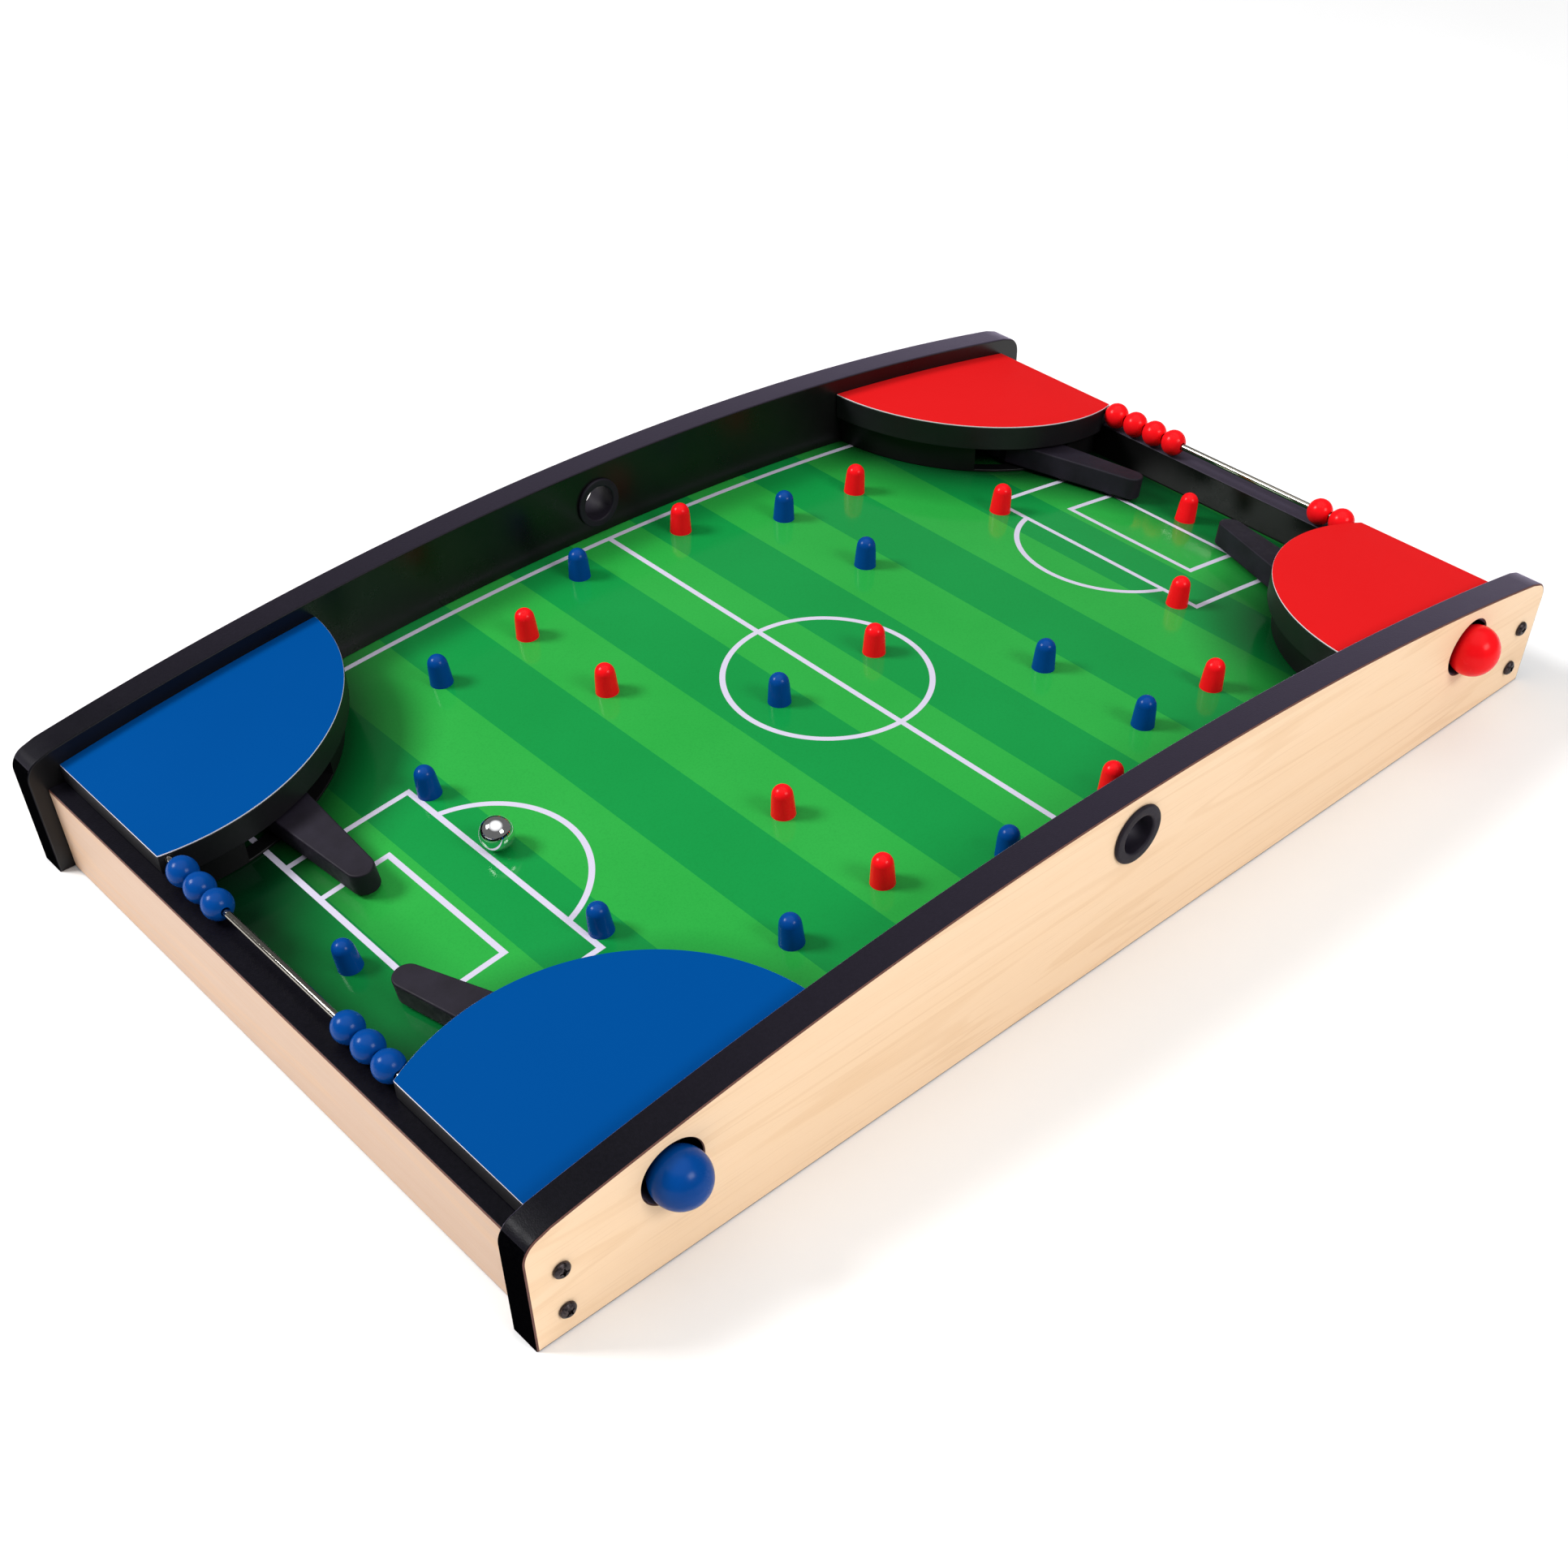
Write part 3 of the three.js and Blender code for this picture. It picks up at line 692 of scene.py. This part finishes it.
def make_side_panel(place, sy):
    corner_x, arch_x = HALF_L - CORNER_R, HALF_L - CORNER_R - 0.003
    corner_z = arch(corner_x) - CORNER_R - 0.001
    steps = 120
    top = [arch_x - 2 * arch_x * i / steps for i in range(steps + 1)]
    outline = [Vector((-HALF_L, 0)), Vector((HALF_L, 0))]
    outline += arc(corner_x, corner_z, CORNER_R, 0, 76, 14)
    outline += [Vector((x, arch(x))) for x in top]
    outline += arc(-corner_x, corner_z, CORNER_R, 104, 180, 14)
    panel = slab(f"side_panel_body_{place}", outline, INNER_Y, HALF_W, EDGE_ROUND, swap=across_y)
    boards = [BOARD_X * (2 * i / 60 - 1) for i in range(61)]
    groove = [Vector((x, dome(x, -PITCH_T - GAP))) for x in boards]
    groove += [Vector((x, dome(x, GAP))) for x in reversed(boards)]
    tools = [slab("cutter", groove, INNER_Y - 0.002, INNER_Y + GROOVE, 0.0001, swap=across_y)]
    knob = middle(f"knob_red_{place}")
    rod = middle(f"plunger_red_{place}")
    step_y = INNER_Y + KNOB_STEP
    feed = middle(f"feed_grommet_{place}")
    tools.append(hole_cutter(FEED_BARREL + GAP, INNER_Y, HALF_W, 0, feed.z))
    for sx in (-1, 1):
        tools.append(hole_cutter(KNOB_HOLE_R, step_y, HALF_W, sx * knob.x, knob.z, rims=(False, True)))
        tools.append(hole_cutter(ROD_BORE_R, INNER_Y, step_y + GAP, sx * knob.x, rod.z, rims=(True, False)))
        for i in (1, 2):
            screw = middle(f"screw_red_{place}_{i}")
            tools.append(hole_cutter(SCREW_HOLE_R, INNER_Y, HALF_W, sx * screw.x, screw.z, 0.0012, 32))
    combine(panel, tools, "DIFFERENCE")
    moved(panel, Matrix.Diagonal((1, sy, 1, 1)))

    def choose(normal, centre):
        outward = normal.y * sy
        if outward > 0.3 and abs(centre.y) > HALF_W - EDGE_ROUND:
            return 1 if outward > 0.98 else 2
        if abs(normal.x) > 0.8:
            return 4
        return 3 if outward < -0.9 else 0

    paint_faces(panel, choose)
    even_shading(panel)
    node = f"side_panel_{place}"
    add_piece(panel, "table", "maple", [EDGING, MAPLE_X, BROWN_LINE, INNER_BOARD, END_FACE], node)


def make_end_panel(side, sx):
    half = INNER_Y - GAP
    outline = [(-half, 0), (half, 0), (half, END_H), (-half, END_H)]
    panel = slab(f"end_panel_body_{side}", outline, END_IN, END_OUT, EDGE_ROUND, swap=across_x)
    moved(panel, Matrix.Diagonal((sx, 1, 1, 1)))

    def choose(normal, centre):
        outward = normal.x * sx
        if outward > 0.98:
            return 1
        if outward > 0.3:
            return 2
        return 3 if outward < -0.9 else 0

    paint_faces(panel, choose)
    even_shading(panel)
    node = f"end_panel_{side}"
    add_piece(panel, "table", "maple", [EDGING, MAPLE_Y_SHADED, BROWN_LINE, INNER_BOARD], node)


# ---------------------------------------------------------------- pitch and pegs
def make_pitch():
    half_y, steps = INNER_Y + GROOVE - GAP, 140
    xs = [BOARD_X * (2 * i / steps - 1) for i in range(steps + 1)]
    outline = [Vector((x, -half_y)) for x in xs] + [Vector((x, half_y)) for x in reversed(xs)]
    board = slab(
        "pitch_board", outline, lambda p: dome(p.x, -PITCH_T), lambda p: dome(p.x), 0.0004, ribbed=True
    )
    paint_faces(board, lambda normal, centre: 0 if normal.z > 0.5 else 1)
    even_shading(board)
    add_piece(board, "table", "pitch", [PITCH, PITCH_BACK], "pitch_with_pegs")


def make_pegs():
    shoulder = PEG_H - PEG_TOP_R
    profile = [Vector((0, -PEG_SUNK)), Vector((PEG_BASE_R, -PEG_SUNK)), Vector((PEG_BASE_R, 0))]
    profile += [Vector((PEG_BASE_R - 0.00012, 0.0007)), Vector((PEG_TOP_R + 0.0002, shoulder - 0.001))]
    profile += arc(0, shoulder, PEG_TOP_R, 0, 90, 14)
    profile[-1].x = 0
    for side, sx in (("red", 1), ("blue", -1)):
        for number, (x, y) in enumerate(PEG_PLACES, 1):
            peg = lathe(f"peg_{side}_{number}", profile, 48, on_dome(sx * x, y))
            add_piece(peg, "table", "pitch", PAINT[side], "pitch_with_pegs")


# ---------------------------------------------------------------- corners
def make_housing(side, place, mirror):
    steps = 90
    slot_low, slot_high = SLOT_ANGLES
    angles = [WALL_ANGLES[0] + (WALL_ANGLES[1] - WALL_ANGLES[0]) * i / steps for i in range(steps + 1)]
    for edge in SLOT_ANGLES:
        angles += [edge - 0.04, edge + 0.04]
    angles = sorted(angles)
    limit_y = INNER_Y - GAP

    def at(angle, r):
        point = arc(COVER_ARC.x, COVER_ARC.y, r, angle, angle, 1)[0]
        return Vector((min(point.x, BOARD_X), min(point.y, limit_y)))

    def floor(p):
        return dome(p.x, GAP)

    def ceiling(p):
        return arch(p.x, COVER_DROP + COVER_T + GAP)

    def height(p):
        angle = math.degrees(math.atan2(p.y - COVER_ARC.y, p.x - COVER_ARC.x)) % 360
        return dome(p.x, GAP + SLOT_RIM) if slot_low < angle < slot_high else ceiling(p)

    outline = [at(a, WALL_R) for a in angles] + [at(a, WALL_R - WALL_T) for a in reversed(angles)]
    wall = slab(f"housing_wall_{side}_{place}", outline, floor, height, 0.0003, ribbed=True)
    xs = [BULKHEAD_X + (BOARD_X - BULKHEAD_X) * i / 24 for i in range(25)]
    near_y, far_y = BULKHEAD_Y
    outline = [Vector((x, near_y)) for x in xs] + [Vector((x, far_y)) for x in reversed(xs)]
    bulkhead = slab("bulkhead", outline, floor, ceiling, 0.0003, ribbed=True)
    rod = middle("plunger_red_far")
    guide = hole_cutter(ROD_GUIDE_R, near_y, far_y, rod.x, rod.z, 0.0004, 32)
    combine(bulkhead, [guide], "DIFFERENCE")
    combine(wall, [bulkhead], "UNION")
    even_shading(moved(wall, mirror))
    add_piece(wall, "table", "black_plastic", HOUSING_PAINT, f"corner_housing_{side}_{place}")


def make_cover(side, place, mirror):
    far_y = INNER_Y - GAP
    edge = arc(COVER_ARC.x, COVER_ARC.y, COVER_R, *COVER_ANGLES, 110)
    end_y = edge[-1].y
    edge += fillet([edge[-1], (COVER_END - 0.0001, end_y + 0.0002), (COVER_END, end_y + 0.004)], 0.003)[1:]
    straight = [Vector((max(p.x, edge[0].x + 0.0006), far_y)) for p in edge]
    outline = edge + straight[::-1]

    def underside(p):
        low = arch(p.x, COVER_DROP + COVER_T)
        return max(low, END_H + GAP) if p.x > END_IN - 0.003 else low

    def join(p):
        return arch(p.x, COVER_DROP) - SHEET_T

    board = slab(f"cover_board_{side}_{place}", outline, underside, join, 0.0004, ribbed=True)
    even_shading(moved(board, mirror))
    add_piece(board, "table", "black_plastic", COVER_BOARD, f"corner_cover_{side}_{place}")
    sheet = slab(
        f"cover_sheet_{side}_{place}", inset(outline, 0.0001), join, lambda p: arch(p.x, COVER_DROP), 0.00008,
        ribbed=True, rim_steps=1,
    )
    moved(sheet, mirror)
    paint_faces(sheet, lambda normal, centre: 0 if normal.z > 0.8 else 1)
    even_shading(sheet)
    add_piece(sheet, "table", f"cover_{side}", [SHEET[side], WHITE_CARD], f"corner_cover_{side}_{place}")


def rest_angle(side, place):
    """The flipper's angle in the stored pose, from how far its joint can still turn back."""
    joint = next(j for j in frame["joints"] if j["name"] == f"flipper_swing_{side}_{place}")
    returned = min(abs(v) for v in joint["range_deg"])
    return REST_DEG - (round(returned) if returned > 1 else 0)


def make_flipper(side, place, mirror):
    deg = rest_angle(side, place)
    lean = math.degrees(math.asin((FLIP_BASE - FLIP_TIP_R) / FLIP_LEN))
    outline = [Vector((-FLIP_BASE, -BLADE_START))]
    outline += arc(0, -FLIP_LEN, FLIP_TIP_R, 180 + lean, 360 - lean, 40)
    outline += [Vector((FLIP_BASE, -BLADE_START))]
    blade = slab(f"flipper_body_{side}_{place}", outline, FLIP_LOW, FLIP_TOP, 0.0009, rim_steps=4)
    neck = [
        (-0.008, -0.002), (-FLIP_BASE + 0.0004, -BLADE_START - 0.0012),
        (FLIP_BASE - 0.0004, -BLADE_START - 0.0012), (0.008, -0.002),
    ]
    neck = slab("neck", neck, FLIP_LOW + 0.00002, HUB_TOP, 0.0004)
    hub_line = fillet([(0, FLIP_LOW), (HUB_R, FLIP_LOW), (HUB_R, HUB_TOP), (0, HUB_TOP)], 0.0004)
    boss_low = HUB_TOP - 0.001
    boss_line = fillet([(0, boss_low), (BOSS_R, boss_low), (BOSS_R, FLIP_TOP), (0, FLIP_TOP)], 0.0003)
    combine(blade, [neck, lathe("hub", hub_line, 56)], "UNION")
    moved(blade, Matrix.Rotation(math.radians(deg), 4, "Z"))
    ends = arc(0, 0, CRANK_ARM_R, 90, 270, 12) + arc(CRANK_R, 0, CRANK_ARM_R, -90, 90, 12)
    crank = slab("crank", ends, FLIP_LOW + 0.00001, HUB_TOP - 0.00001, 0.0004)
    pin_line = fillet([(0, 0.0075), (CRANK_PIN_R, 0.0075), (CRANK_PIN_R, FLIP_TOP), (0, FLIP_TOP)], 0.0003)
    pin = lathe("crank_pin", pin_line, 28, Matrix.Translation((CRANK_R, 0, 0)))
    turn = Matrix.Rotation(math.radians(deg - MID_DEG), 4, "Z")
    combine(blade, [moved(crank, turn), moved(pin, turn), lathe("boss", boss_line, 40)], "UNION")
    bore = lathe("bore", [(0, -0.001), (PIN_BORE_R, -0.001), (PIN_BORE_R, 0.02), (0, 0.02)], 32)
    combine(blade, [bore], "DIFFERENCE")
    even_shading(moved(blade, mirror @ on_dome(PIVOT.x, PIVOT.y)))
    add_piece(blade, f"flipper_{side}_{place}", "black_plastic", MOULDED, f"flipper_{side}_{place}")


def make_pin_and_spring(side, place, mirror):
    foot, head = PIN_ENDS
    pin_line = fillet([(0, foot), (PIN_R, foot), (PIN_R, head), (0, head)], 0.0004)
    pin = lathe(f"pivot_pin_body_{side}_{place}", pin_line, 32, on_dome(PIVOT.x, PIVOT.y))
    add_piece(moved(pin, mirror), "table", "steel", DRAWN_STEEL, f"pivot_pin_{side}_{place}")
    start = math.radians(rest_angle(side, place) - 90)
    coil_r, base, rise, turns = BOSS_R + 0.0012, HUB_TOP + 0.0009, 0.0036, 3.25
    wound, steps = turns * 2 * math.pi - start, 120
    points = [Vector(((coil_r + 0.0016) * math.cos(start), (coil_r + 0.0016) * math.sin(start), base))]
    for i in range(1, steps + 1):
        a = start + wound * i / steps
        points.append(Vector((coil_r * math.cos(a), coil_r * math.sin(a), base + rise * i / steps)))
    last = points[-1]
    points += [last - Vector((out, 0, 0)) for out in (0.004, 0.01, 0.0335)]
    spring = tube(f"return_spring_coil_{side}_{place}", points, WIRE_R, 12)
    moved(spring, mirror @ on_dome(PIVOT.x, PIVOT.y))
    add_piece(spring, "table", "steel", DRAWN_STEEL, f"return_spring_{side}_{place}")


def make_knob(side, place):
    sy = 1 if place == "far" else -1
    low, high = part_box(f"knob_{side}_{place}")
    radius, at = (high.x - low.x) / 2, (low + high) / 2
    front = high.y if sy > 0 else -low.y
    back = radius - (high.y - low.y)
    flat = math.sqrt(radius**2 - back**2)
    next_r = math.sqrt(radius**2 - (back + 0.002) ** 2)
    profile = fillet([(0, back), (flat, back), (next_r, back + 0.002)], 0.0006)
    start = math.degrees(math.asin((back + 0.0022) / radius))
    profile = profile[:-1] + arc(0, 0, radius, start, 90, 40)
    profile[-1].x = 0
    matrix = along_y(at.x, at.z) @ Matrix.Translation((0, 0, front - radius))
    knob = lathe(f"knob_ball_{side}_{place}", profile, 72, matrix)
    moved(knob, Matrix.Diagonal((1, sy, 1, 1)))
    add_piece(knob, f"plunger_{side}_{place}", f"knob_{side}", PAINT[side], f"knob_{side}_{place}")
    low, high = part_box(f"plunger_{side}_{place}")
    at = (low + high) / 2
    ends = sorted((abs(low.y), abs(high.y)))
    r = (high.z - low.z) / 2
    rod_line = fillet([(0, ends[0]), (r, ends[0]), (r, ends[1]), (0, ends[1])], 0.0005)
    rod = lathe(f"plunger_rod_{side}_{place}", rod_line, 36, along_y(at.x, at.z))
    moved(rod, Matrix.Diagonal((1, sy, 1, 1)))
    add_piece(rod, f"plunger_{side}_{place}", "steel", DRAWN_STEEL, f"plunger_{side}_{place}")


# ---------------------------------------------------------------- small pieces
def make_grommet(place):
    sy = 1 if place == "far" else -1
    low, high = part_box(f"feed_grommet_{place}")
    out_r, at = (high.x - low.x) / 2, (low + high) / 2
    inner, outer = sorted((abs(low.y), abs(high.y)))
    seam = (FEED_BORE, (inner + outer) / 2)
    line = [
        seam, (FEED_BORE, inner), (FEED_IN_R, inner), (FEED_IN_R, INNER_Y - GAP),
        (FEED_BARREL, INNER_Y - GAP), (FEED_BARREL, HALF_W + GAP), (out_r, HALF_W + GAP),
        (out_r - 0.0003, outer), (FEED_BORE, outer), seam,
    ]
    profile = fillet(line, [0.0008, 0.0007, 0.0002, 0.0001, 0.0001, 0.0002, 0.0011, 0.0012])
    ring = lathe(f"feed_grommet_ring_{place}", profile, 80, along_y(at.x, at.z))
    moved(ring, Matrix.Diagonal((1, sy, 1, 1)))
    add_piece(ring, "table", "black_plastic", MOULDED, f"feed_grommet_{place}")


def make_score(side):
    low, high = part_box(f"score_rod_{side}")
    r, at = (high.x - low.x) / 2, (low + high) / 2
    rod_line = fillet([(0, low.y), (r, low.y), (r, high.y), (0, high.y)], 0.0003)
    rod = lathe(f"score_rod_bar_{side}", rod_line, 36, along_y(at.x, at.z))
    add_piece(rod, "table", "chrome", ROD_STEEL, f"score_rod_{side}")
    for number in range(1, 7):
        node = f"bead_{side}_{number}"
        low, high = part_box(node)
        radius, at, half = (high.x - low.x) / 2, (low + high) / 2, (high.y - low.y) / 2
        bore = math.sqrt(radius**2 - half**2)
        mouth = math.degrees(math.asin(half / radius)) - 2.5
        profile = [Vector((bore, 0)), Vector((bore, -half + 0.0004))]
        profile += arc(0, 0, radius, -mouth, mouth, 30)
        profile += [Vector((bore, half - 0.0004)), Vector((bore, 0))]
        matrix = Matrix.Translation((0, at.y, 0)) @ along_y(at.x, at.z)
        bead = lathe(f"bead_turned_{side}_{number}", profile, 48, matrix)
        add_piece(bead, f"bead_{side}_{number}", f"bead_{side}", PAINT[side], node)


def make_screw(side, place, number):
    node = f"screw_{side}_{place}_{number}"
    sy = 1 if place == "far" else -1
    low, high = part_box(node)
    at, head_r = (low + high) / 2, (high.x - low.x) / 2
    inner, outer = sorted((abs(low.y), abs(high.y)))
    shank, seat = SCREW_SHANK_R, HALF_W + GAP
    line = [
        (0, inner), (shank * 0.3, inner), (shank, inner + 0.003), (shank, seat), (head_r, seat),
        (head_r - 0.00025, seat + 0.0012), (head_r - 0.0015, outer - 0.0001), (0, outer),
    ]
    profile = fillet(line, [0.0, 0.0005, 0.0, 0.0002, 0.0007, 0.0012])
    screw = lathe(f"screw_body_{side}_{place}_{number}", profile, 48)
    depth, out = outer - CROSS_DEPTH, outer + 0.002
    half_l, half_w = CROSS_HALF
    arms = []
    for turn in (CROSS_TURN, CROSS_TURN + 90):
        slot = [(-half_l, -half_w), (half_l, -half_w), (half_l, half_w), (-half_l, half_w)]
        arm = slab("cutter", slot, depth, out, 0.0001)
        arms.append(moved(arm, Matrix.Rotation(math.radians(turn + 37 * number), 4, "Z")))
    arms.append(lathe("cutter", [(0, depth - 0.0004), (0.0011, depth + 0.0004), (0.0013, out), (0, out)], 24))
    combine(screw, arms, "DIFFERENCE")
    moved(screw, Matrix.Diagonal((1, sy, 1, 1)) @ along_y(at.x, at.z))
    add_piece(screw, "table", "black_metal", OXIDE, node)


def make_ball():
    low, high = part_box("ball")
    radius = (high.y - low.y) / 2
    profile = arc(0, 0, radius, -90, 90, 48)
    profile[0].x = profile[-1].x = 0
    ball = lathe("steel_ball", profile, 96, Matrix.Translation((low + high) / 2))
    add_piece(ball, "ball", "chrome", CHROME, "ball")


for place, sy in (("near", -1), ("far", 1)):
    make_side_panel(place, sy)
    make_grommet(place)
for side, sx in (("blue", -1), ("red", 1)):
    make_end_panel(side, sx)
    make_score(side)
make_pitch()
make_pegs()
for side, place, sx, sy in CORNERS:
    mirror = Matrix.Diagonal((sx, sy, 1, 1))
    make_housing(side, place, mirror)
    make_cover(side, place, mirror)
    make_flipper(side, place, mirror)
    make_pin_and_spring(side, place, mirror)
    make_knob(side, place)
    for number in (1, 2):
        make_screw(side, place, number)
make_ball()


# ---------------------------------------------------------------- floor, lights and camera
def make_floor():
    mesh = bpy.data.meshes.new("floor")
    far = FLOOR_HALF
    mesh.from_pydata([(-far, -far, 0), (far, -far, 0), (far, far, 0), (-far, far, 0)], [], [(0, 1, 2, 3)])
    floor = bpy.data.objects.new("floor", mesh)
    bpy.context.scene.collection.objects.link(floor)
    look = Look("pale_floor", Roughness=0.75)
    look.colour(look.ramp(look.noise(3, 3.0, 0.5), (0.3, srgb(244, 244, 244)), (0.8, srgb(248, 248, 248))))
    mesh.materials.append(look.material)


def add_softbox(name, place, size, power):
    """A rectangular light that faces the middle of the table."""
    light = bpy.data.lights.new(name, "AREA")
    light.shape = "RECTANGLE"
    light.size, light.size_y = size
    light.energy = power
    box = bpy.data.objects.new(name, light)
    box.location = place
    box.rotation_euler = (LIGHT_TARGET - Vector(place)).to_track_quat("-Z", "Y").to_euler()
    bpy.context.scene.collection.objects.link(box)


def light_scene():
    """A dim studio dome, brighter overhead, and a softbox on either side."""
    world = bpy.data.worlds.new("studio")
    world.use_nodes = True
    tree = world.node_tree
    background = tree.nodes["Background"]
    coordinates = tree.nodes.new("ShaderNodeTexCoord")
    split = tree.nodes.new("ShaderNodeSeparateXYZ")
    ramp = tree.nodes.new("ShaderNodeValToRGB")
    tree.links.new(coordinates.outputs["Generated"], split.inputs[0])
    tree.links.new(split.outputs["Z"], ramp.inputs[0])
    tree.links.new(ramp.outputs[0], background.inputs["Color"])
    for element, (height, value) in zip(ramp.color_ramp.elements, WORLD_RAMP):
        element.position = height
        element.color = (value, value, value, 1)
    background.inputs["Strength"].default_value = WORLD_STRENGTH
    bpy.context.scene.world = world
    add_softbox("left_box", (-2.0, 1.9, 2.5), (1.2, 1.0), LEFT_POWER)
    add_softbox("right_box", (0.5, -3.1, 2.5), (1.5, 1.1), RIGHT_POWER)


def add_camera():
    data = bpy.data.cameras.new("camera")
    data.sensor_width = SENSOR
    data.lens = LENS
    data.shift_x, data.shift_y = SHIFT
    camera = bpy.data.objects.new("camera", data)
    azimuth, elevation, roll = (math.radians(v) for v in (CAMERA_AZIMUTH, CAMERA_ELEVATION, CAMERA_ROLL))
    reach = math.cos(elevation)
    back = Vector((math.sin(azimuth) * reach, -math.cos(azimuth) * reach, math.sin(elevation)))
    turn = (-back).to_track_quat("-Z", "Y").to_matrix().to_4x4()
    camera.matrix_world = Matrix.Translation(CAMERA_PLACE) @ turn @ Matrix.Rotation(roll, 4, "Z")
    bpy.context.scene.collection.objects.link(camera)
    bpy.context.scene.camera = camera


FLOOR_HALF = 9.0
WORLD_STRENGTH = 1.4
# Height of the direction, and brightness there
WORLD_RAMP = ((0.74, 0.12), (0.9, 1.0))
LIGHT_TARGET = Vector((0, 0, 0.05))
LEFT_POWER = 120
RIGHT_POWER = 70
CAMERA_PLACE = Vector((-0.54217, -0.57718, 0.58876))
CAMERA_AZIMUTH = -43.76
CAMERA_ELEVATION = 46.44
CAMERA_ROLL = 1.04
SENSOR = 36.0
LENS = 42.745
SHIFT = (-0.03273, 0.19158)

make_floor()
light_scene()
add_camera()
bpy.context.scene.view_settings.view_transform = "Standard"
